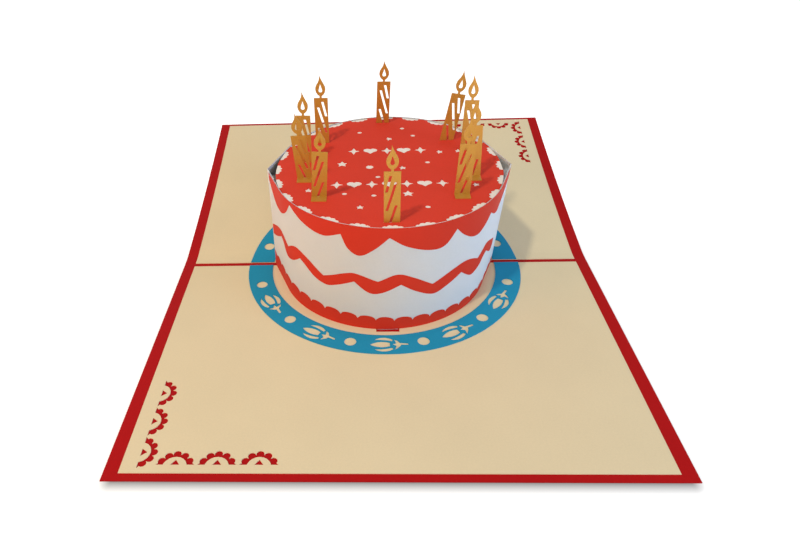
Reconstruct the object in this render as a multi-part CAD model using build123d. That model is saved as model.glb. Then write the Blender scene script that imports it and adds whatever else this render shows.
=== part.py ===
from build123d import *
from math import atan2, cos, degrees, radians, sin, tan
import os

# Pop up card, standing open: a folded cover, cream liners, a round paper cake inside a ring, ten candles.
# X runs along the fold, Y away from the reader and Z up, in millimetres. The front panel lies flat and
# the back panel curves up. Shapes are placed about the fold, and moved at the end so that the origin is
# the middle of the card's footprint.

# Card
card_width = 200.0
panel_length = 130.0
cover_thickness = 0.35
liner_thickness = 0.3
side_border = 5.45
front_border = 3.1
back_border = 2.1
fold_gap = 2.75

# Bend of the back panel, by lengths along the card from the fold and turns in degrees. The crease is
# round, and the long bow after it is so gentle that a few flats draw it.
flat_past_fold = 2.0
crease_length = 7.0
crease_turn = 8.5
bow_turn = 4.5
bow_flats = 6

# Ring round the cake's foot
ring_thickness = 0.3
ring_radius = 66.4
ring_bore_radius = 54.6
front_ring_offset = 1.3
back_ring_offset = 2.6
ring_step = 14.8
ring_dot_radius = 2.6
ring_dot_sides = 16
bud_length = 16.4
bud_height = 9.0

# Corner trim cut from the liners: two rows of half rosettes
trim_count = 3
trim_pitch = 14.7
trim_column_pitch = 14.35
trim_edge_inset = 3.5
trim_side_inset = 5.75
trim_row_start = 18.95
trim_column_start = 8.9
rosette_bore_radius = 4.33
rosette_sink = 0.98
rosette_band = 1.17
rosette_lobe_radius = 1.5
rosette_lobes = 5
rosette_lobe_step = 31.0
rosette_foot = 2.6
rosette_foot_height = 1.3
rosette_notch_width = 3.3
rosette_notch_height = 2.2

# Cake wall: two bands that meet at creased corners over the fold. Their flanks lean in by the same angle
# at foot and rim, so that the paper bends one way only.
wall_thickness = 0.3
flank_lean = 21.4
foot_half_width = 53.1
foot_reach = 51.3
rim_half_width = 53.4
rim_reach = 49.9
rim_lip = 0.5
back_rim_fall = 0.5
lap_at_rim = 2.75
corner_tab_length = 9.0
tongue_width = 9.0
slit_width = 10.0
front_slit_opening = 2.6
back_slit_opening = 1.2
slit_back_margin = 1.2
slit_drift = 0.7

# Cake top: a red disc over a cream one, both creased over the fold
top_radius = 49.35
layer_thickness = 0.3
top_height = 54.0
top_lean = 5.2
top_drift = 1.7
front_top_tilt = 1.65
back_top_tilt = 4.27

# Ribs inside the cake
rib_thickness = 0.3
rib_offset = 25.0
rib_half_width = 35.0
rib_overlength = 2.0
middle_rib_half_width = 46.0

# Cut-outs of the red disc
star_waist_share = 0.5
sparkle_waist_share = 0.4
cloud_step = 15.0
cloud_middle_radius = 1.35
cloud_middle_depth = 2.55
cloud_middle_offset = 1.05
cloud_side_radius = 1.2
cloud_side_depth = 1.85
cloud_side_offset = 3.0
star_radius = 2.9
small_star_radius = 2.1
dot_radius = 1.15
large_dot_radius = 1.75
heart_radius = 1.95
sparkle_radius = 3.4
far_row_pitch = 7.6
far_row_count = 5
far_row_s = 15.4
near_row_pitch = 7.4
near_row_count = 7
near_row_s = -14.7

# Candles
candle_width = 6.2
candle_height = 21.9
candle_thickness = 0.35
neck_width = 1.0
neck_height = 0.9
flame_width = 4.45
flame_height = 9.5
flame_hole_width = 1.55
flame_hole_height = 3.9
flame_hole_rise = 1.6
stripe_width = 1.05
candle_tab_length = 4.2
candle_clearance = 0.3

# Sides of the small round cut-outs and chords of the small arcs, few because there are so many of them
round_sides = 10
arc_chords = 5

# One overrun for every cut that runs through a sheet
overrun = 8.0

crease_radius = crease_length / radians(crease_turn)
bow_start = flat_past_fold + crease_length
bow_length = panel_length - bow_start
bow_radius = bow_length / radians(bow_turn)
flat_length = bow_length / bow_flats
bends = [(flat_past_fold, crease_length, crease_radius), (bow_start, bow_length, bow_radius)]
bend_stations = [flat_past_fold] + [bow_start + index * flat_length for index in range(bow_flats)]
liner_top = cover_thickness + liner_thickness
ring_top = liner_top + ring_thickness
liner_half_width = card_width / 2 - side_border
front_liner_end = -panel_length + front_border
back_liner_end = panel_length - back_border


# The bent card


def bend_point(s, height):
    """The place, in Y and Z, at length s from the fold and at a height over the underside, on true arcs."""
    y = min(s, flat_past_fold)
    z = 0.0
    turn = 0.0
    for start, length, radius in bends:
        step = min(max(s - start, 0.0), length) / radius
        y += radius * (sin(turn + step) - sin(turn))
        z += radius * (cos(turn) - cos(turn + step))
        turn += step
    return Vector(0, y - height * sin(turn), z + height * cos(turn))


def card_point(s, height):
    """The place at length s from the fold and at a height over the underside, with the bow in flats."""
    flats_passed = (s - bow_start) / flat_length
    if flats_passed <= 0:
        return bend_point(s, height)
    whole = min(int(flats_passed), bow_flats - 1)
    start = bend_point(bow_start + whole * flat_length, height)
    end = bend_point(bow_start + (whole + 1) * flat_length, height)
    return start + (end - start) * (flats_passed - whole)


def card_line(from_s, to_s, height):
    """The edges of a line along the bent card: an arc in the crease and straight runs elsewhere."""
    stops = [from_s] + [station for station in bend_stations if from_s < station < to_s] + [to_s]
    edges = []
    for first, last in zip(stops, stops[1:]):
        start = card_point(first, height)
        middle = card_point((first + last) / 2, height)
        end = card_point(last, height)
        in_crease = flat_past_fold <= first < bow_start
        edges.append(ThreePointArc(start, middle, end) if in_crease else Line(start, end))
    return edges


def card_sheet(from_s, to_s, low, high, half_width):
    """A sheet of paper that follows the card between two heights over its underside."""
    edges = card_line(from_s, to_s, low) + card_line(from_s, to_s, high)
    edges.append(Line(card_point(from_s, low), card_point(from_s, high)))
    edges.append(Line(card_point(to_s, low), card_point(to_s, high)))
    return extrude(make_face(edges), amount=half_width, dir=(1, 0, 0), both=True)


def tilted_plane(origin, tilt):
    """A plane through a point, with X across and its Y axis rising by the tilt, in degrees."""
    normal = (0, -sin(radians(tilt)), cos(radians(tilt)))
    return Plane(origin=origin, x_dir=(1, 0, 0), z_dir=normal)


def punch(plane, outline):
    """A prism that passes through the sheets at an outline drawn on their plane."""
    return extrude(plane * outline, amount=overrun, both=True)


crease_start = card_point(flat_past_fold, 0)
back_chord = card_point(panel_length, 0) - crease_start
front_plane = Plane.XY
back_panel_tilt = degrees(atan2(back_chord.Z, back_chord.Y))
back_plane = tilted_plane(crease_start, back_panel_tilt) * Plane((0, -flat_past_fold, 0))


# Outlines


def closed_outline(points):
    """A face bounded by straight lines through the points."""
    return make_face(Polyline(*points, close=True))


def small_round(radius, sides=round_sides):
    """A small round outline."""
    return RegularPolygon(radius, sides)


def small_arc(start, middle, end):
    """A small arc, drawn with a few chords."""
    arc = ThreePointArc(start, middle, end)
    return Polyline(*[arc @ (step / arc_chords) for step in range(arc_chords + 1)])


def half_rosette():
    """A ring sunk to less than its half, with round lobes outside and two feet, over a small triangle."""
    outer = rosette_bore_radius + rosette_band
    reach = rosette_bore_radius + rosette_foot
    heel = rosette_foot_height
    centre = Pos(0, -rosette_sink)
    feet = closed_outline([(-reach, 0), (reach, 0), (outer, heel), (-outer, heel)])
    shape = centre * small_round(outer, round_sides * 2) + feet
    for index in range(rosette_lobes):
        angle = 90 + (index - (rosette_lobes - 1) / 2) * rosette_lobe_step
        shape += centre * Rot(0, 0, angle) * Pos(outer, 0) * small_round(rosette_lobe_radius)
    upper_half = Pos(0, reach) * Rectangle(reach * 2, reach * 2)
    shape = (shape - centre * small_round(rosette_bore_radius, round_sides * 2)) & upper_half
    half_notch = rosette_notch_width / 2
    return shape + closed_outline([(-half_notch, 0), (half_notch, 0), (0, rosette_notch_height)])


def corner_trim(end_s, side):
    """The trim of one corner: a row along the card's end and a column along its side edge."""
    turn = Rot(0, 0, 0) if side < 0 else Rot(0, 0, 180)
    rosette = half_rosette()
    shapes = []
    for index in range(trim_count):
        row_x = -liner_half_width + trim_row_start + index * trim_pitch
        row_y = -end_s + trim_edge_inset
        shapes.append(turn * Pos(row_x, row_y) * rosette)
        column_x = -liner_half_width + trim_side_inset
        column_y = -end_s + trim_column_start + index * trim_column_pitch
        shapes.append(turn * Pos(column_x, column_y) * Rot(0, 0, -90) * rosette)
    return Sketch() + shapes


# Petals as shares of the bud's length and height: tip, crown and base of each arc, from the bud's middle
petal_tip_shares = (-0.45, 0.0)
petal_crown_shares = (-0.16, 0.20)
petal_base_shares = (0.075, 0.13)
crescent_tip_shares = (-0.345, 0.31)
crescent_inner_shares = (-0.11, 0.305)
crescent_inner_base_shares = (0.13, 0.22)
crescent_outer_shares = (-0.09, 0.50)
crescent_base_shares = (0.16, 0.34)
calyx_shares = [
    (0.125, 0.03), (0.235, 0.09), (0.185, 0.35), (0.275, 0.27), (0.33, 0.12), (0.54, 0.08),
    (0.55, -0.04), (0.36, -0.03), (0.335, -0.14), (0.195, -0.38), (0.235, -0.11),
]


def bud():
    """A closed flower bud with its stem to the right: a lens, two crescents and a toothed calyx."""
    def place(shares, flip=1):
        return (shares[0] * bud_length, shares[1] * bud_height * flip)
    lens = make_face([
        small_arc(place(petal_tip_shares), place(petal_crown_shares), place(petal_base_shares)),
        Line(place(petal_base_shares), place(petal_base_shares, -1)),
        small_arc(place(petal_base_shares, -1), place(petal_crown_shares, -1), place(petal_tip_shares)),
    ])
    shape = lens + closed_outline([place(shares) for shares in calyx_shares])
    for flip in (1, -1):
        tip = place(crescent_tip_shares, flip)
        inner_base = place(crescent_inner_base_shares, flip)
        base = place(crescent_base_shares, flip)
        inner = small_arc(tip, place(crescent_inner_shares, flip), inner_base)
        outer = small_arc(base, place(crescent_outer_shares, flip), tip)
        shape += make_face([inner, Line(inner_base, base), outer])
    return shape


def ring_outline(side, offset):
    """One half of the ring with its buds and dots, about the fold."""
    middle_radius = (ring_radius + ring_bore_radius) / 2
    band = Circle(ring_radius) - Circle(ring_bore_radius)
    flower = bud()
    cuts = []
    for index in range(-5, 6):
        angle = side * 90 + index * ring_step
        dot = small_round(ring_dot_radius, ring_dot_sides)
        shape = Rot(0, 0, 90) * flower if index % 2 == 0 else dot
        cuts.append(Rot(0, 0, angle) * Pos(middle_radius, 0) * shape)
    return Pos(0, -offset) * (band - cuts)


# Card pieces


def make_liner(end_s, side):
    """One liner, with its corner trim and the slit for the wall's tongue."""
    from_s, to_s = sorted((side * fold_gap / 2, side * end_s))
    plane = front_plane if side < 0 else back_plane
    opening = front_slit_opening if side < 0 else back_slit_opening
    slit_s = foot_reach + (opening - slit_back_margin) / 2
    slit = Pos(slit_drift, side * slit_s) * Rectangle(slit_width, opening)
    outline = corner_trim(end_s, side) + slit
    sheet = card_sheet(from_s, to_s, cover_thickness, liner_top, liner_half_width)
    return sheet - punch(plane, outline)


def make_ring(side, offset):
    """One half of the ring, laid on its liner."""
    from_s, to_s = sorted((side * fold_gap / 2, side * (ring_radius + overrun)))
    plane = front_plane if side < 0 else back_plane
    sheet = card_sheet(from_s, to_s, liner_top, ring_top, ring_radius + overrun)
    return sheet & punch(plane, ring_outline(side, offset))


# Cake


def top_origin(height):
    """The middle of the top's crease, at a height over the red disc's upper face."""
    mean_tilt = radians((front_top_tilt + back_top_tilt) / 2)
    half_bend = radians((back_top_tilt - front_top_tilt) / 2)
    mitre = height / cos(half_bend)
    rise = top_height - liner_top
    crease_y = -rise * tan(radians(top_lean))
    return Vector(top_drift, crease_y - mitre * sin(mean_tilt), top_height + mitre * cos(mean_tilt))


def top_plane(side, height):
    """The plane of one half of the top, at a height over the red disc's upper face."""
    return tilted_plane(top_origin(height), front_top_tilt if side < 0 else back_top_tilt)


def rim_plane(side):
    """The plane of one band's rim, a lip above the disc that fades out towards the back."""
    tilt = front_top_tilt if side < 0 else back_top_tilt - back_rim_fall
    return tilted_plane(top_origin(rim_lip), tilt)


def foot_plane(side):
    """The plane of one band's foot, from the fold to where the band seats on the liner."""
    fold = Vector(0, 0, liner_top)
    seat = card_point(foot_reach + wall_thickness, liner_top) - fold
    return tilted_plane(fold, 0 if side < 0 else degrees(atan2(seat.Z, seat.Y)))


def band_path(half_width, reach, inset, side):
    """A band's plan, set in by a thickness: leaning flanks from both corners, tangent to a round front."""
    lean = radians(flank_lean)
    radius = (half_width * cos(lean) - reach * sin(lean)) / (1 - sin(lean))
    centre = reach - radius
    corner = half_width - inset / cos(lean)
    arc_radius = radius - inset
    touch_x = arc_radius * cos(lean)
    touch_y = side * (centre + arc_radius * sin(lean))
    return [
        Line((-corner, 0), (-touch_x, touch_y)),
        ThreePointArc((-touch_x, touch_y), (0, side * (reach - inset)), (touch_x, touch_y)),
        Line((touch_x, touch_y), (corner, 0)),
    ]


def band_section(sizes, outer_inset, inner_inset, side):
    """The cut face of a band in one plane, between two insets."""
    outer = band_path(*sizes, outer_inset, side)
    inner = band_path(*sizes, inner_inset, side)
    ends = [Line(outer[-1] @ 1, inner[-1] @ 1), Line(inner[0] @ 0, outer[0] @ 0)]
    return make_face(outer + inner + ends)


def make_band(side, outer_inset, inner_inset):
    """A band from the liner up to the rim, ruled between its foot and its rim."""
    foot_section = band_section((foot_half_width, foot_reach), outer_inset, inner_inset, side)
    rim_section = band_section((rim_half_width, rim_reach), outer_inset, inner_inset, side)
    return loft([foot_plane(side) * foot_section, rim_plane(side) * rim_section], ruled=True)


def make_tongue(side, outer_inset, inner_inset):
    """The tongue at the middle of a band's foot, through the liner's slit down to the cover."""
    foot_section = band_section((foot_half_width, foot_reach), outer_inset, inner_inset, side)
    window = Pos(slit_drift, side * foot_reach) * Rectangle(tongue_width, overrun)
    plane = foot_plane(side)
    return extrude(plane * (foot_section & window), amount=liner_thickness, dir=-plane.z_dir)


def crease_strip(front_line, back_line):
    """A block across the card between two lines, each set off along Y from the crease at foot and rim."""
    rim = top_origin(rim_lip)
    crease = Vector(0, rim.Y, rim.Z - liner_top)
    stretch = overrun / crease.length
    points = []
    for at_foot, at_rim in (front_line, back_line):
        foot_end = Vector(0, at_foot, liner_top)
        run = crease + Vector(0, at_rim - at_foot, 0)
        points.append([foot_end - run * stretch, foot_end + run * (1 + stretch)])
    outline = closed_outline(points[0] + points[1][::-1])
    return extrude(outline, amount=foot_half_width + overrun, dir=(1, 0, 0), both=True)


def make_front_wall():
    """The front band, outside the back band's corner tabs, with slanted ends and a tongue at its foot."""
    band = make_band(-1, -wall_thickness, 0)
    slanted_ends = crease_strip((0, -lap_at_rim), (overrun, overrun))
    return band - slanted_ends + make_tongue(-1, -wall_thickness, 0)


def make_back_wall():
    """The back band with a tab at each corner that turns inside the front band, and a tongue."""
    band = make_band(1, 0, wall_thickness)
    inner_band = make_band(-1, 0, wall_thickness)
    tabs = inner_band & crease_strip((-corner_tab_length, -corner_tab_length), (0, 0))
    return band + tabs + make_tongue(1, 0, wall_thickness)


def cloud():
    """A flat-bottomed cloud of four lobes, open to the disc's edge."""
    shape = Pos(top_radius, 0) * Rectangle(cloud_side_depth, cloud_side_offset * 2)
    for side in (-1, 1):
        middle_x = top_radius - cloud_middle_depth + cloud_middle_radius
        side_x = top_radius - cloud_side_depth + cloud_side_radius
        shape += Pos(middle_x, side * cloud_middle_offset) * small_round(cloud_middle_radius)
        shape += Pos(side_x, side * cloud_side_offset) * small_round(cloud_side_radius)
    return shape


def star(radius, turn):
    """A five-pointed star."""
    points = []
    for index in range(10):
        reach = radius if index % 2 == 0 else radius * star_waist_share
        angle = radians(90 + turn + 36 * index)
        points.append((reach * cos(angle), reach * sin(angle)))
    return closed_outline(points)


def heart():
    """Two round lobes over a point."""
    lobe_x = heart_radius * cos(radians(45))
    shape = closed_outline([(0, lobe_x), (-lobe_x * 2, 0), (0, -lobe_x * 2), (lobe_x * 2, 0)])
    for side in (-1, 1):
        shape += Pos(side * lobe_x, lobe_x / 2) * small_round(heart_radius * cos(radians(15)))
    return shape


def sparkle():
    """A star of four long points."""
    points = []
    for index in range(8):
        reach = sparkle_radius if index % 2 == 0 else sparkle_radius * sparkle_waist_share
        angle = radians(45 * index)
        points.append((reach * cos(angle), reach * sin(angle)))
    return closed_outline(points)


# Stars and dots as places from the middle of the disc, in shares of its radius, and the star's turn
large_star_shares = [(-0.411, 0.079, 0), (0.148, -0.468, 0)]
small_star_shares = [
    (0.028, 0.543, 20), (0.128, -0.008, 8), (-0.687, -0.387, 0), (0.652, 0.282, 0),
    (-0.251, -0.677, 0), (0.480, 0.270, 15), (0.727, -0.336, 10),
]
dot_shares = [
    (-0.253, 0.683), (0.162, 0.752), (0.257, 0.598), (0.355, 0.083), (-0.095, -0.168),
    (-0.136, -0.490), (-0.381, -0.454), (0.294, -0.687),
]
large_dot_shares = [(-0.164, 0.016)]


def motif_row(count, pitch, s):
    """A row of hearts and sparkles in turn, centred on the disc."""
    shapes = []
    for index in range(count):
        shape = sparkle() if index % 2 == 0 else heart()
        shapes.append(Pos((index - (count - 1) / 2) * pitch, s) * shape)
    return shapes


def top_cuts():
    """Every cut-out of the red disc."""
    shapes = [Rot(0, 0, index * cloud_step) * cloud() for index in range(int(360 / cloud_step))]
    for x, y, turn in large_star_shares:
        shapes.append(Pos(x * top_radius, y * top_radius) * star(star_radius, turn))
    for x, y, turn in small_star_shares:
        shapes.append(Pos(x * top_radius, y * top_radius) * star(small_star_radius, turn))
    for x, y in dot_shares:
        shapes.append(Pos(x * top_radius, y * top_radius) * small_round(dot_radius))
    for x, y in large_dot_shares:
        shapes.append(Pos(x * top_radius, y * top_radius) * small_round(large_dot_radius))
    shapes += motif_row(far_row_count, far_row_pitch, far_row_s)
    shapes += motif_row(near_row_count, near_row_pitch, near_row_s)
    for x, y, _, _, _, tabbed in candle_shares.values():
        if not tabbed:
            slit = Rectangle(candle_width + candle_clearance, candle_thickness + candle_clearance)
            shapes.append(Pos(x * top_radius, y * top_radius) * slit)
    return shapes


def make_top_layer(outline, low, high):
    """A layer of the top between two heights, each half raised from its own plane along the mitre."""
    span = 2 * (top_radius + overrun)
    rise = top_origin(high) - top_origin(low)
    layer = Part()
    for side in (-1, 1):
        half = outline & Pos(0, side * span / 2) * Rectangle(span, span)
        layer += extrude(top_plane(side, low) * half, amount=rise.length, dir=rise.normalized())
    return layer


def ground():
    """All that lies under the liners' upper face."""
    return card_sheet(-foot_reach, foot_reach, -overrun, liner_top, foot_reach)


def make_rib(offset, half_width, side):
    """A rib along X that leans as the cake does, from below the card's face up to the cream disc."""
    upper = top_plane(side, -2 * layer_thickness)
    if side == 0:
        upper = tilted_plane(upper.origin, (front_top_tilt + back_top_tilt) / 2)
    fold = Vector(0, 0, liner_top)
    lean = (upper.origin - fold).normalized()
    lower = Plane(fold - lean * rib_overlength, x_dir=(1, 0, 0), z_dir=foot_plane(side).z_dir)
    section = Pos(0, side * offset) * Rectangle(half_width * 2, rib_thickness)
    return loft([lower * section, upper * section], ruled=True)


def make_side_rib(side):
    """A rib in front of or behind the fold, standing on its liner."""
    return make_rib(rib_offset, rib_half_width, side) - ground()


def make_middle_rib():
    """The rib over the fold, standing on the cover between the liners."""
    under_cover = card_sheet(-overrun, overrun, -overrun, cover_thickness, card_width / 2)
    return make_rib(0, middle_rib_half_width, 0) - under_cover


# Candles


# Stripes of a candle, as shares of its width and of its height from the top: upper end, lower end
stripe_shares = [
    ((0.40, 0.08), (0.155, 0.40)),
    ((0.72, 0.20), (0.175, 0.77)),
    ((0.75, 0.655), (0.365, 1.05)),
]
flame_foot_shares = (0.11, 0.0)
flame_belly_shares = (0.5, 0.29)
flame_shoulder_shares = (0.36, 0.56)
flame_neck_shares = (0.12, 0.78)
flame_tip_shares = (-0.07, 1.0)
hole_side_shares = (0.5, 0.33)

# Each candle's foot on the disc, in shares of its radius, its lean back and to the right in degrees,
# which way its stripes run and whether it stands on a bent tab
candle_shares = {
    "candle_front": (-0.004, -0.910, -5.0, -0.8, 1, False),
    "candle_back": (-0.026, 0.888, -13.0, 0.9, -1, False),
    "candle_left_back": (-0.750, 0.125, -4.0, 1.9, -1, False),
    "candle_left_front": (-0.734, -0.170, -14.0, -2.1, -1, True),
    "candle_back_left": (-0.604, 0.492, -6.0, 0.7, -1, False),
    "candle_front_left": (-0.590, -0.496, -12.0, 4.0, 1, True),
    "candle_back_right": (0.567, 0.496, -3.0, 9.6, -1, False),
    "candle_right_back": (0.732, 0.288, 7.0, 1.7, -1, False),
    "candle_right_front": (0.719, -0.192, 2.0, -2.9, 1, True),
    "candle_front_right": (0.588, -0.492, -3.5, 0.9, 1, True),
}


def flame():
    """A flame standing on its neck: a round belly, hollow shoulders and a drop-shaped hole."""
    def place(shares, flip=1):
        return (shares[0] * flame_width * flip, shares[1] * flame_height)
    tip = place(flame_tip_shares)
    edges = [Line(place(flame_foot_shares, -1), place(flame_foot_shares))]
    for flip in (-1, 1):
        foot = place(flame_foot_shares, flip)
        shoulder = place(flame_shoulder_shares, flip)
        edges.append(small_arc(foot, place(flame_belly_shares, flip), shoulder))
        edges.append(small_arc(shoulder, place(flame_neck_shares, flip), tip))
    side_x = hole_side_shares[0] * flame_hole_width
    side_y = hole_side_shares[1] * flame_hole_height
    hole = make_face([
        small_arc((-side_x, side_y), (0, 0), (side_x, side_y)),
        Line((side_x, side_y), (0, flame_hole_height)),
        Line((0, flame_hole_height), (-side_x, side_y)),
    ])
    return make_face(edges) - Pos(0, flame_hole_rise) * hole


def candle_outline(stripe_way):
    """A candle's outline from below its foot to the flame's tip."""
    body = Pos(0, (candle_height - overrun) / 2) * Rectangle(candle_width, candle_height + overrun)
    neck = Pos(0, candle_height + neck_height / 2) * Rectangle(neck_width, neck_height * 2)
    for upper, lower in stripe_shares:
        points = []
        for (x, y), half in ((upper, -1), (upper, 1), (lower, 1), (lower, -1)):
            across = (x - 1 / 2) * candle_width + half * stripe_width / 2
            points.append((stripe_way * across, candle_height * (1 - y)))
        body -= closed_outline(points)
    return body + neck + Pos(0, candle_height + neck_height) * flame()


def make_candle(x, s, lean_back, lean_right, stripe_way, tabbed):
    """A flat candle that leans, set in a slit of the red disc or on a tab bent towards the reader."""
    side = -1 if s < 0 else 1
    seat_level = 0 if tabbed else -layer_thickness
    disc = top_plane(side, 0)
    foot = disc.from_local_coords(Vector(x * top_radius, s * top_radius, 0))
    back = radians(lean_back)
    right = radians(lean_right)
    across = Vector(cos(right), -sin(back) * sin(right), -cos(back) * sin(right))
    up = Vector(sin(right), sin(back) * cos(right), cos(back) * cos(right))
    plane = Plane(origin=foot, x_dir=across, z_dir=across.cross(up))
    plate = extrude(plane * candle_outline(stripe_way), amount=candle_thickness / 2, both=True)
    reach = candle_width + overrun
    seat_place = top_plane(side, seat_level) * Pos(x * top_radius, s * top_radius, -reach)
    seat = seat_place * Box(reach * 2, reach * 2, reach * 2)
    candle = plate - seat
    if tabbed:
        tab_place = Pos(x * top_radius, s * top_radius - candle_tab_length / 2, candle_thickness / 2)
        candle += disc * tab_place * Box(candle_width, candle_tab_length, candle_thickness)
    return candle


parts = {
    "cover": card_sheet(-panel_length, panel_length, 0, cover_thickness, card_width / 2),
    "front_liner": make_liner(-front_liner_end, -1),
    "back_liner": make_liner(back_liner_end, 1),
    "front_plate_ring": make_ring(-1, front_ring_offset),
    "back_plate_ring": make_ring(1, back_ring_offset),
    "front_wall": make_front_wall(),
    "back_wall": make_back_wall(),
    "top_disc": make_top_layer(Circle(top_radius) - top_cuts(), -layer_thickness, 0),
    "top_underlay": make_top_layer(Circle(top_radius), -2 * layer_thickness, -layer_thickness),
    "front_rib": make_side_rib(-1),
    "middle_rib": make_middle_rib(),
    "back_rib": make_side_rib(1),
}
for name, values in candle_shares.items():
    parts[name] = make_candle(*values)

card_back_end = card_point(panel_length, 0).Y
fold_place = Pos(0, (panel_length - card_back_end) / 2, 0)
os.makedirs("parts", exist_ok=True)
for name, shape in parts.items():
    export_step(fold_place * shape, f"parts/{name}.step")
    print(name, len(shape.solids()), round(shape.volume, 2))
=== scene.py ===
import math

import bpy
from mathutils import Matrix, Vector


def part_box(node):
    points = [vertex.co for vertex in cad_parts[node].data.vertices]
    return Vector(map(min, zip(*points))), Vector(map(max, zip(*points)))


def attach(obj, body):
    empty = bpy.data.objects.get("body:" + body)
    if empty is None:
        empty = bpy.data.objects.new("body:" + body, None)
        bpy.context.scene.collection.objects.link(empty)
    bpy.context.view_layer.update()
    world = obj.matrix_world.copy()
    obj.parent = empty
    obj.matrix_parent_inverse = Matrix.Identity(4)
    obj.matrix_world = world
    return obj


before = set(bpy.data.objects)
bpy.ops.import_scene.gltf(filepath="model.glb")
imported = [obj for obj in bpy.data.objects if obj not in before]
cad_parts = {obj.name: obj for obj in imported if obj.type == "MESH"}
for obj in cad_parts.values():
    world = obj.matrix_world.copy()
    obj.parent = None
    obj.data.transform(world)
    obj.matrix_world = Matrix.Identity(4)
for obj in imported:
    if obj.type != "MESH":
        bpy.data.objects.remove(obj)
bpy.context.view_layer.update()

# Sizes are in millimetres, as the card was measured, and MM takes them to the frame's metres
MM = 0.001
PANEL_LENGTH = 130.0
FOLD_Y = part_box("cover")[0].y + PANEL_LENGTH * MM

# The two bands of the cake's side: each is ruled from a foot on its panel up to a rim. Their plan is a
# round front between two flanks that lean by the same angle at foot and rim. Where a value has two keys,
# -1 is the front band and 1 the back one.
LINER_TOP = 0.65
WALL_THICKNESS = 0.3
FLANK_LEAN = math.radians(21.4)
FOOT_HALF_WIDTH = 53.1
FOOT_REACH = 51.3
RIM_HALF_WIDTH = 53.4
RIM_REACH = 49.9
RIM_CREASE = Vector((1.7, -4.883, 54.499))
FOOT_TILT = {-1: 0.0, 1: math.radians(8.25)}
RIM_TILT = {-1: math.radians(1.65), 1: math.radians(3.77)}
OUTER_INSET = {-1: -WALL_THICKNESS, 1: 0.0}

# How far the ends of each band run in from the corner at the rim, along the band
END_SLANT = {-1: 3.3, 1: 0.0}

# Ink stands a hair proud of the card, is sunk a little in it, and stops just short of its edges. Its points
# are a step apart along the band.
INK_LIFT = 0.03
INK_DEPTH = 0.1
INK_STEP = 1.0
INK_MARGIN = 0.05
INK_EDGE_ANGLE = math.radians(30)
LENGTH_TOLERANCE = INK_MARGIN / 10


# Colours


def srgb(red, green, blue):
    """A colour given as it looks on screen, from 0 to 255, as linear values."""
    channels = []
    for value in (red, green, blue):
        share = value / 255
        channels.append(share / 12.92 if share <= 0.04045 else ((share + 0.055) / 1.055) ** 2.4)
    return (*channels, 1.0)


RED = srgb(175, 16, 18)
CREAM = srgb(226, 208, 171)
UNDERLAY = srgb(244, 236, 228)
BLUE = srgb(34, 142, 180)
WHITE = srgb(212, 212, 213)
ORANGE_RED = srgb(221, 63, 44)
PRINT_RED = srgb(202, 52, 34)
GOLD = srgb(197, 142, 52)


# Materials

# The card's cloudy tint and its fibres: the scale and detail of each noise, the fibres' share of the colour,
# and where in the noise the tint starts and ends
CLOUD_SCALE = 28.0
CLOUD_DETAIL = 3.0
FIBRE_SCALE = 1400.0
FIBRE_DETAIL = 5.0
FIBRE_SHARE = 0.5
TINT_START = 0.3
TINT_END = 0.7

# The fibres' relief
RELIEF_STRENGTH = 0.35
RELIEF_HEIGHT = 0.02

# How deep light travels in thin card, and the share of that for red, green and blue
GLOW_RADIUS = (1.0, 0.9, 0.85)
GLOW_DEPTH = 1.0


def new_material(name):
    """A material, with its nodes, its links and its shader."""
    material = bpy.data.materials.new(name)
    material.use_nodes = True
    nodes = material.node_tree.nodes
    links = material.node_tree.links
    return material, nodes, links, nodes["Principled BSDF"]


def noise(nodes, links, coords, scale, detail):
    """Noise that lies still on the object."""
    texture = nodes.new("ShaderNodeTexNoise")
    texture.inputs["Scale"].default_value = scale
    texture.inputs["Detail"].default_value = detail
    links.new(coords.outputs["Object"], texture.inputs["Vector"])
    return texture.outputs["Fac"]


def paper(name, colour, roughness=0.75, fibre=0.06, gloss=0.25, metallic=0.0, glow=0.0):
    """Card stock: a faint cloudy tint, fine fibres in the colour and a matching fine relief. A thin card
    may let some light through, glow being the share of it."""
    material, nodes, links, shader = new_material(name)
    coords = nodes.new("ShaderNodeTexCoord")
    cloud = noise(nodes, links, coords, CLOUD_SCALE, CLOUD_DETAIL)
    fibres = noise(nodes, links, coords, FIBRE_SCALE, FIBRE_DETAIL)
    blend = nodes.new("ShaderNodeMix")
    blend.data_type = "FLOAT"
    blend.inputs["Factor"].default_value = FIBRE_SHARE
    links.new(cloud, blend.inputs["A"])
    links.new(fibres, blend.inputs["B"])
    tint = nodes.new("ShaderNodeValToRGB")
    dark, light = tint.color_ramp.elements
    dark.position = TINT_START
    dark.color = (*(channel * (1 - fibre) for channel in colour[:3]), 1.0)
    light.position = TINT_END
    light.color = (*(min(channel * (1 + fibre), 1.0) for channel in colour[:3]), 1.0)
    links.new(blend.outputs["Result"], tint.inputs["Fac"])
    links.new(tint.outputs["Color"], shader.inputs["Base Color"])
    relief = nodes.new("ShaderNodeBump")
    relief.inputs["Strength"].default_value = RELIEF_STRENGTH
    relief.inputs["Distance"].default_value = RELIEF_HEIGHT * MM
    links.new(fibres, relief.inputs["Height"])
    links.new(relief.outputs["Normal"], shader.inputs["Normal"])
    shader.inputs["Roughness"].default_value = roughness
    shader.inputs["Metallic"].default_value = metallic
    shader.inputs["Specular IOR Level"].default_value = gloss
    if glow:
        shader.inputs["Subsurface Weight"].default_value = glow
        shader.inputs["Subsurface Radius"].default_value = GLOW_RADIUS
        shader.inputs["Subsurface Scale"].default_value = GLOW_DEPTH * MM
    return material


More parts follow.
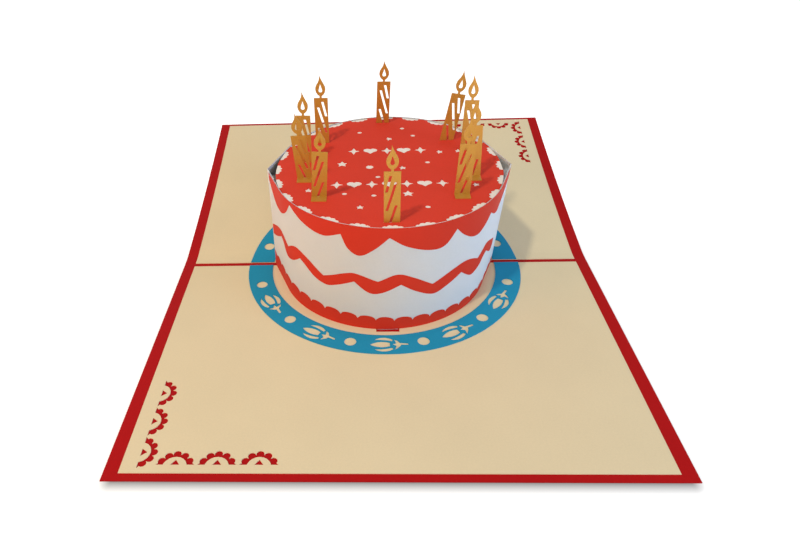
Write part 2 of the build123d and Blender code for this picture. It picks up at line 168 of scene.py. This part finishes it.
cover_red = paper("cover_red", RED, roughness=0.6, gloss=0.08)
cream_card = paper("cream_card", CREAM, fibre=0.04)
blue_card = paper("blue_card", BLUE, gloss=0.12)
white_card = paper("white_card", WHITE, roughness=0.6, fibre=0.03, glow=1.0)
disc_red = paper("disc_red", ORANGE_RED, gloss=0.15)
gold_card = paper("gold_card", GOLD, roughness=0.42, gloss=0.5, metallic=0.25)
underlay_card = paper("underlay_card", UNDERLAY, fibre=0.04)
print_ink = paper("print_ink", PRINT_RED, roughness=0.6, fibre=0.04, gloss=0.12)


def dress(name, material):
    """Gives a CAD node its finish."""
    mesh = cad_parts[name].data
    mesh.materials.clear()
    mesh.materials.append(material)


# Every node that isn't named here is a candle
finishes = {
    "cover": cover_red, "front_liner": cream_card, "back_liner": cream_card,
    "front_plate_ring": blue_card, "back_plate_ring": blue_card,
    "front_wall": white_card, "back_wall": white_card,
    "top_disc": disc_red, "top_underlay": underlay_card,
    "front_rib": white_card, "middle_rib": white_card, "back_rib": white_card,
}
for node_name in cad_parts:
    dress(node_name, finishes.get(node_name, gold_card))


# Print on the cake's side


def path_point(half_width, reach, inset, station):
    """A place on a band's plan, from a station: how far round the front, or how far along a flank."""
    radius = (half_width * math.cos(FLANK_LEAN) - reach * math.sin(FLANK_LEAN)) / (1 - math.sin(FLANK_LEAN))
    centre = reach - radius
    arc_radius = radius - inset
    side, turn, flank_share = station
    corner = half_width - inset / math.cos(FLANK_LEAN)
    touch_x = arc_radius * math.cos(FLANK_LEAN)
    touch_y = centre + arc_radius * math.sin(FLANK_LEAN)
    if flank_share > 0:
        return side * (touch_x + (corner - touch_x) * flank_share), touch_y * (1 - flank_share)
    return side * arc_radius * math.sin(turn), centre + arc_radius * math.cos(turn)


def station_at(u, side):
    """The station of a length along the outer face at the foot, from the middle of the band."""
    inset = OUTER_INSET[side]
    quarter = math.pi / 2 - FLANK_LEAN
    start = path_point(FOOT_HALF_WIDTH, FOOT_REACH, inset, (1, quarter, 0))
    end = path_point(FOOT_HALF_WIDTH, FOOT_REACH, inset, (1, quarter, 1))
    crown = path_point(FOOT_HALF_WIDTH, FOOT_REACH, inset, (1, 0, 0))
    arc_radius = (crown[1] - start[1]) / (1 - math.cos(quarter))
    past = abs(u) - arc_radius * quarter
    turn = min(abs(u) / arc_radius, quarter)
    return (1 if u >= 0 else -1), turn, max(past, 0) / math.dist(start, end)


def band_line(u, side, lift):
    """The straight line from foot to rim of a band at one length along it, raised off its outer face."""
    inset = OUTER_INSET[side] - lift
    station = station_at(u, side)
    ends = []
    for origin, half_width, reach, tilt in (
        (Vector((0, 0, LINER_TOP)), FOOT_HALF_WIDTH, FOOT_REACH, FOOT_TILT[side]),
        (RIM_CREASE, RIM_HALF_WIDTH, RIM_REACH, RIM_TILT[side]),
    ):
        x, y = path_point(half_width, reach, inset, station)
        ends.append(origin + Vector((x, side * y * math.cos(tilt), side * y * math.sin(tilt))))
    return ends


def band_half_length(side):
    """The length of a band's outer face at the foot, from its middle to its corner."""
    low = 0.0
    high = 2 * FOOT_HALF_WIDTH
    while high - low > LENGTH_TOLERANCE:
        middle = (low + high) / 2
        if station_at(middle, side)[2] < 1:
            low = middle
        else:
            high = middle
    return low


# Heights of the print over the foot, by lengths along the band from its middle, left to right as one looks
# at it. Each lobe is a smooth line through its points, and two lobes meet in a cusp. The points were picked
# in the photograph, and a script turned them into these lengths through the camera below. More than half
# stand as that gave them.
drip_lobes = [
    [(-81, 51.5), (-76, 50), (-72.5, 46.8), (-66.5, 42.8), (-60, 42), (-55.8, 42.9), (-51, 46),
     (-47.3, 51.2)],
    [(-47.3, 51.2), (-39, 47), (-28, 44.8), (-20, 47.7)],
    [(-20, 47.7), (-17.3, 41.8), (-12.3, 38.8), (-6.5, 42.4), (-1, 48.1)],
    [(-1, 48.1), (5.8, 43.7), (16.5, 40.4), (22, 41.5), (26.3, 47.5)],
    [(26.3, 47.5), (28.5, 45), (31, 42.8), (35.1, 40.3), (38.5, 39.5), (41, 40), (44.6, 42.5), (47.7, 45.9)],
    [(47.7, 45.9), (51.8, 43.3), (56.5, 42.2), (61, 43.2), (67, 44.6), (74, 47.5), (81, 51)],
]
ribbon_upper_lobes = [
    [(-81, 24.8), (-73.7, 27.8), (-67.4, 30.1), (-61.6, 31.2), (-56.8, 30.5), (-52, 28)],
    [(-52, 28), (-48.5, 30.3), (-44.5, 31.6), (-40.2, 30.8), (-35.5, 28.8), (-31.8, 26.4), (-28.4, 24.3)],
    [(-28.4, 24.3), (-23.7, 26.3), (-18.7, 28.6), (-14, 29.6), (-4.5, 26.4)],
    [(-4.5, 26.4), (3.1, 30.1), (9.8, 27.8), (18.3, 22.6)],
    [(18.3, 22.6), (25.5, 26.2), (31, 28.2), (34.7, 28.5), (38.5, 27.6), (43.3, 25.3)],
    [(43.3, 25.3), (46.3, 27.5), (49.8, 29.5), (54, 28.6), (60, 25.8), (67.8, 22)],
]
ribbon_lower_lobes = [
    [(-81, 19.5), (-71.7, 22.6), (-61.7, 27.7)],
    [(-61.7, 27.7), (-58, 26), (-55.8, 23.1), (-53, 21.7), (-48.6, 22.6), (-45, 24.8), (-42.2, 27)],
    [(-42.2, 27), (-39.4, 25.7), (-33.1, 21.5), (-27.1, 19.9), (-23.8, 20.8), (-18.5, 23.2), (-14.3, 25.3)],
    [(-14.3, 25.3), (-9.2, 20.9), (-5.8, 19.8), (-1.5, 21), (4.8, 24.7)],
    [(4.8, 24.7), (11.7, 20.2), (19.4, 17.1), (25, 19.2), (32.7, 23.3)],
    [(32.7, 23.3), (35.7, 20.8), (39.4, 18.4), (42, 18.4), (46.7, 20.5), (48.7, 22.8), (51.8, 24.5)],
    [(51.8, 24.5), (56.5, 21.2), (61.5, 18.3), (64.7, 17.5), (66.9, 18.7)],
    [(66.9, 18.7), (67.8, 22)],
]
RIBBON_TIP = 67.7

# The row of small arcs along the foot
SCALLOP_PITCH = 7.92
SCALLOP_START = -52.1
SCALLOPS_LEFT_OF_START = 4
SCALLOP_COUNT = 22
SCALLOP_RISE = 2.2
SCALLOP_BASE = 4.9
SCALLOP_SLOPE_SHARE = -0.037


def smooth_line(points, u):
    """The height at u of a smooth line through points, flowing through each along its neighbours."""
    index = max(i for i in range(len(points) - 1) if points[i][0] <= u or i == 0)
    slopes = []
    for place in (index, index + 1):
        before = points[max(place - 1, 0)]
        after = points[min(place + 1, len(points) - 1)]
        slopes.append((after[1] - before[1]) / (after[0] - before[0]))
    (u0, h0), (u1, h1) = points[index:index + 2]
    span = u1 - u0
    t = (u - u0) / span
    rise = h0 * (1 + 2 * t) * (1 - t) ** 2 + h1 * t * t * (3 - 2 * t)
    return rise + span * (slopes[0] * t * (1 - t) ** 2 - slopes[1] * t * t * (1 - t))


def lobed_height(lobes):
    """A function that gives the height of a row of lobes at a length along the band."""
    def height(u):
        for points in lobes:
            if u <= points[-1][0]:
                return smooth_line(points, u)
        return lobes[-1][-1][1]
    return height


def scallop_height(u):
    """The height of the row of small arcs along the foot."""
    along = (u - SCALLOP_START) % SCALLOP_PITCH / SCALLOP_PITCH
    bulge = math.sqrt(max(1 - (2 * along - 1) ** 2, 0))
    return SCALLOP_BASE + SCALLOP_SLOPE_SHARE * u + SCALLOP_RISE * bulge


def foot_height(u):
    """The foot itself."""
    return 0.0


def rim_height(u):
    """Past the rim, so that the print is cut off at it."""
    return 2 * RIM_CREASE.z


def print_columns(side, lower, upper, cusps):
    """Four points for each length along a band where there is ink: low and high outside, then inside."""
    half_length = band_half_length(side)
    count = int(2 * half_length / INK_STEP)
    lengths = {-half_length + INK_MARGIN + index * INK_STEP for index in range(count + 1)}
    lengths |= {side * -cusp for cusp in cusps if abs(cusp) < half_length}
    columns = []
    for u in sorted(lengths):
        foot, rim = band_line(u, side, 0)
        full = (rim - foot).length
        past = abs(u) - (half_length - END_SLANT[side])
        end_share = 1 - max(past, 0) / END_SLANT[side] if END_SLANT[side] else 1
        low = lower(-side * u)
        high = min(upper(-side * u), full * end_share - INK_MARGIN * (end_share < 1))
        if high - low < INK_MARGIN:
            continue
        column = []
        for lift in (INK_LIFT, -INK_DEPTH):
            foot, rim = band_line(u, side, lift)
            for height in (low, high):
                column.append((foot + (rim - foot) * (height / full)) * MM + Vector((0, FOLD_Y, 0)))
        columns.append(column)
    return columns


def print_strip(name, side, lower, upper, cusps):
    """A field of ink on a band's outer face, between two heights that follow the band."""
    columns = print_columns(side, lower, upper, cusps)
    vertices = [point for column in columns for point in column]
    faces = [(0, 1, 3, 2)]
    for index in range(len(columns) - 1):
        a = index * 4
        b = a + 4
        faces += [(a, b, b + 1, a + 1), (a + 2, a + 3, b + 3, b + 2)]
        faces += [(a + 1, b + 1, b + 3, a + 3), (a, a + 2, b + 2, b)]
    last = (len(columns) - 1) * 4
    faces.append((last, last + 2, last + 3, last + 1))
    if side > 0:
        faces = [face[::-1] for face in faces]
    mesh = bpy.data.meshes.new(name)
    mesh.from_pydata(vertices, [], faces)
    mesh.materials.append(print_ink)
    mesh.shade_smooth()
    mesh.set_sharp_from_angle(angle=INK_EDGE_ANGLE)
    piece = bpy.data.objects.new(name, mesh)
    bpy.context.scene.collection.objects.link(piece)
    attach(piece, "root")


def lobe_ends(*rows):
    """Where the lobes of some rows start."""
    return [points[0][0] for lobes in rows for points in lobes]


scallop_numbers = range(-SCALLOPS_LEFT_OF_START, SCALLOP_COUNT - SCALLOPS_LEFT_OF_START)
scallop_ends = [SCALLOP_START + number * SCALLOP_PITCH for number in scallop_numbers]
ribbon_ends = lobe_ends(ribbon_lower_lobes, ribbon_upper_lobes) + [RIBBON_TIP]
drip_height = lobed_height(drip_lobes)
ribbon_lower = lobed_height(ribbon_lower_lobes)
ribbon_upper = lobed_height(ribbon_upper_lobes)
for side, band in ((-1, "front"), (1, "back")):
    print_strip(f"{band}_drips", side, drip_height, rim_height, lobe_ends(drip_lobes))
    print_strip(f"{band}_ribbon", side, ribbon_lower, ribbon_upper, ribbon_ends)
    print_strip(f"{band}_scallops", side, foot_height, scallop_height, scallop_ends)


# Floor, background and light

# A painted shadow in the floor's colour, soft and close round the card's edge, mostly towards the front
SHADOW_INSET = 3.7
SHADOW_SHIFT = (0.3, -3.7)
SHADOW_REACH = 6.5
SHADOW_DEPTH = 0.78

# The floor's half width in metres, its colour, and how much of its own light the camera sees
FLOOR_REACH = 4.0
FLOOR_WHITE = 0.92
FLOOR_GLOW = 0.58

# The room's light on the card, and the white that the camera sees behind it
ROOM_LEVEL = 0.5
WHITE_LEVEL = 1.0

# Each lamp's place and size in metres, power in watts and colour, and the place they all face
LAMPS = {
    "key": ((-0.337, -0.45, 0.9), 0.055, 3.5, (1.0, 0.92, 0.72)),
    "left_window": ((-0.5, -0.25, 0.16), 0.28, 0.85, (1.0, 0.42, 0.08)),
    "right_window": ((0.55, -0.26, 0.14), 0.26, 1.85, (0.36, 0.62, 1.0)),
    "front_fill": ((0.1, -0.7, 0.1), 0.4, 0.7, (1.0, 0.9, 0.75)),
    "back_sky": ((-0.4, 0.45, 0.35), 0.4, 0.36, (0.25, 0.75, 1.0)),
}
LAMP_AIM = Vector((0, 0, 0.03))


def add_painted_floor_shadow(nodes, links, maths):
    """Painted shadow on the floor: 1 in the open, and darker close to the card."""
    coords = nodes.new("ShaderNodeTexCoord")
    place = nodes.new("ShaderNodeSeparateXYZ")
    links.new(coords.outputs["Object"], place.inputs["Vector"])
    outside = []
    low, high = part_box("cover")
    for index, axis in enumerate("XY"):
        middle = (low[index] + high[index]) / 2 + SHADOW_SHIFT[index] * MM
        half = (high[index] - low[index]) / 2 - SHADOW_INSET * MM
        centred = maths("SUBTRACT", place.outputs[axis], middle)
        beyond = maths("SUBTRACT", maths("ABSOLUTE", centred, 0.0), half)
        outside.append(maths("POWER", maths("MAXIMUM", beyond, 0.0), 2.0))
    distance = maths("SQRT", maths("ADD", *outside), 0.0)
    fade = nodes.new("ShaderNodeMapRange")
    fade.inputs["From Max"].default_value = SHADOW_REACH * MM
    fade.inputs["To Min"].default_value = 1.0 - SHADOW_DEPTH
    fade.inputs["To Max"].default_value = 1.0
    links.new(distance, fade.inputs["Value"])
    return fade.outputs["Result"]


def floor_material():
    """A white floor with a painted shadow that darkens it close to the card, and that looks as white as the
    background.
    """
    material, nodes, links, shader = new_material("floor")
    shader.inputs["Roughness"].default_value = 1.0
    shader.inputs["Specular IOR Level"].default_value = 0.0

    def maths(operation, first, second):
        node = nodes.new("ShaderNodeMath")
        node.operation = operation
        for socket, value in zip(node.inputs, (first, second)):
            if isinstance(value, float):
                socket.default_value = value
            else:
                links.new(value, socket)
        return node.outputs["Value"]

    # Painted shadow: it darkens both the floor's colour and the light the camera sees from it close to the
    # card
    painted_shadow = add_painted_floor_shadow(nodes, links, maths)
    path = nodes.new("ShaderNodeLightPath")
    seen = maths("MAXIMUM", path.outputs["Is Camera Ray"], path.outputs["Is Glossy Ray"])
    glow = nodes.new("ShaderNodeEmission")
    links.new(maths("MULTIPLY", maths("MULTIPLY", seen, FLOOR_GLOW), painted_shadow), glow.inputs["Strength"])
    tint = nodes.new("ShaderNodeCombineColor")
    for channel in ("Red", "Green", "Blue"):
        links.new(maths("MULTIPLY", painted_shadow, FLOOR_WHITE), tint.inputs[channel])
    links.new(tint.outputs["Color"], shader.inputs["Base Color"])
    add = nodes.new("ShaderNodeAddShader")
    links.new(shader.outputs["BSDF"], add.inputs[0])
    links.new(glow.outputs["Emission"], add.inputs[1])
    links.new(add.outputs["Shader"], nodes["Material Output"].inputs["Surface"])
    return material


def add_floor():
    """A wide floor that keeps the card's shadow."""
    mesh = bpy.data.meshes.new("floor")
    reach = FLOOR_REACH
    corners = [(-reach, -reach, 0), (reach, -reach, 0), (reach, reach, 0), (-reach, reach, 0)]
    mesh.from_pydata(corners, [], [(0, 1, 2, 3)])
    mesh.materials.append(floor_material())
    floor = bpy.data.objects.new("floor", mesh)
    bpy.context.scene.collection.objects.link(floor)


def add_world():
    """White to the camera, and a softer plain light for the card."""
    world = bpy.data.worlds.new("studio")
    bpy.context.scene.world = world
    world.use_nodes = True
    nodes = world.node_tree.nodes
    links = world.node_tree.links
    path = nodes.new("ShaderNodeLightPath")
    level = nodes.new("ShaderNodeMapRange")
    level.inputs["To Min"].default_value = ROOM_LEVEL
    level.inputs["To Max"].default_value = WHITE_LEVEL
    links.new(path.outputs["Is Camera Ray"], level.inputs["Value"])
    background = nodes["Background"]
    background.inputs["Color"].default_value = (1.0, 1.0, 1.0, 1.0)
    links.new(level.outputs["Result"], background.inputs["Strength"])


def add_lamp(name, place, size, power, colour):
    """A square soft lamp that faces the cake."""
    data = bpy.data.lights.new(name, "AREA")
    data.size = size
    data.energy = power
    data.color = colour
    lamp = bpy.data.objects.new(name, data)
    lamp.location = place
    lamp.rotation_euler = (LAMP_AIM - Vector(place)).to_track_quat("-Z", "Y").to_euler()
    lamp.visible_camera = False
    bpy.context.scene.collection.objects.link(lamp)


add_floor()
add_world()
for lamp_name, settings in LAMPS.items():
    add_lamp(lamp_name, *settings)


# Camera: fitted to points of the card, the ring and the cake in the photograph, whose frame is 800 by 558
# pixels, with the card held at 200 mm wide and 130 mm a panel. Its place is in millimetres from the middle
# of the fold, and its angles are in degrees.
IMAGE_WIDTH = 800
IMAGE_HEIGHT = 558
FOCAL_PIXELS = 611.72
CENTRE_PIXEL = (336.32, 309.23)
CAMERA_PLACE = (-9.52, -254.62, 172.1)
CAMERA_PITCH = 38.23
CAMERA_YAW = -3.29
CAMERA_ROLL = -2.59
SENSOR_WIDTH = 36.0
NEAREST_SEEN = 0.01


def add_camera():
    """The photograph's view of the card."""
    pitch = math.radians(CAMERA_PITCH)
    yaw = math.radians(CAMERA_YAW)
    roll = math.radians(CAMERA_ROLL)
    forward = Vector((math.sin(yaw) * math.cos(pitch), math.cos(yaw) * math.cos(pitch), -math.sin(pitch)))
    level_right = Vector((math.cos(yaw), -math.sin(yaw), 0))
    level_up = level_right.cross(forward)
    right = math.cos(roll) * level_right + math.sin(roll) * level_up
    up = -math.sin(roll) * level_right + math.cos(roll) * level_up
    turn = Matrix((right, up, -forward)).transposed()
    data = bpy.data.cameras.new("camera")
    data.sensor_fit = "HORIZONTAL"
    data.sensor_width = SENSOR_WIDTH
    data.lens = FOCAL_PIXELS / IMAGE_WIDTH * SENSOR_WIDTH
    data.shift_x = (IMAGE_WIDTH / 2 - CENTRE_PIXEL[0]) / IMAGE_WIDTH
    data.shift_y = (CENTRE_PIXEL[1] - IMAGE_HEIGHT / 2) / IMAGE_WIDTH
    data.clip_start = NEAREST_SEEN
    camera = bpy.data.objects.new("camera", data)
    place = Vector(CAMERA_PLACE) * MM + Vector((0, FOLD_Y, 0))
    camera.matrix_world = Matrix.Translation(place) @ turn.to_4x4()
    bpy.context.scene.collection.objects.link(camera)
    bpy.context.scene.camera = camera


add_camera()
bpy.context.scene.view_settings.view_transform = "Standard"
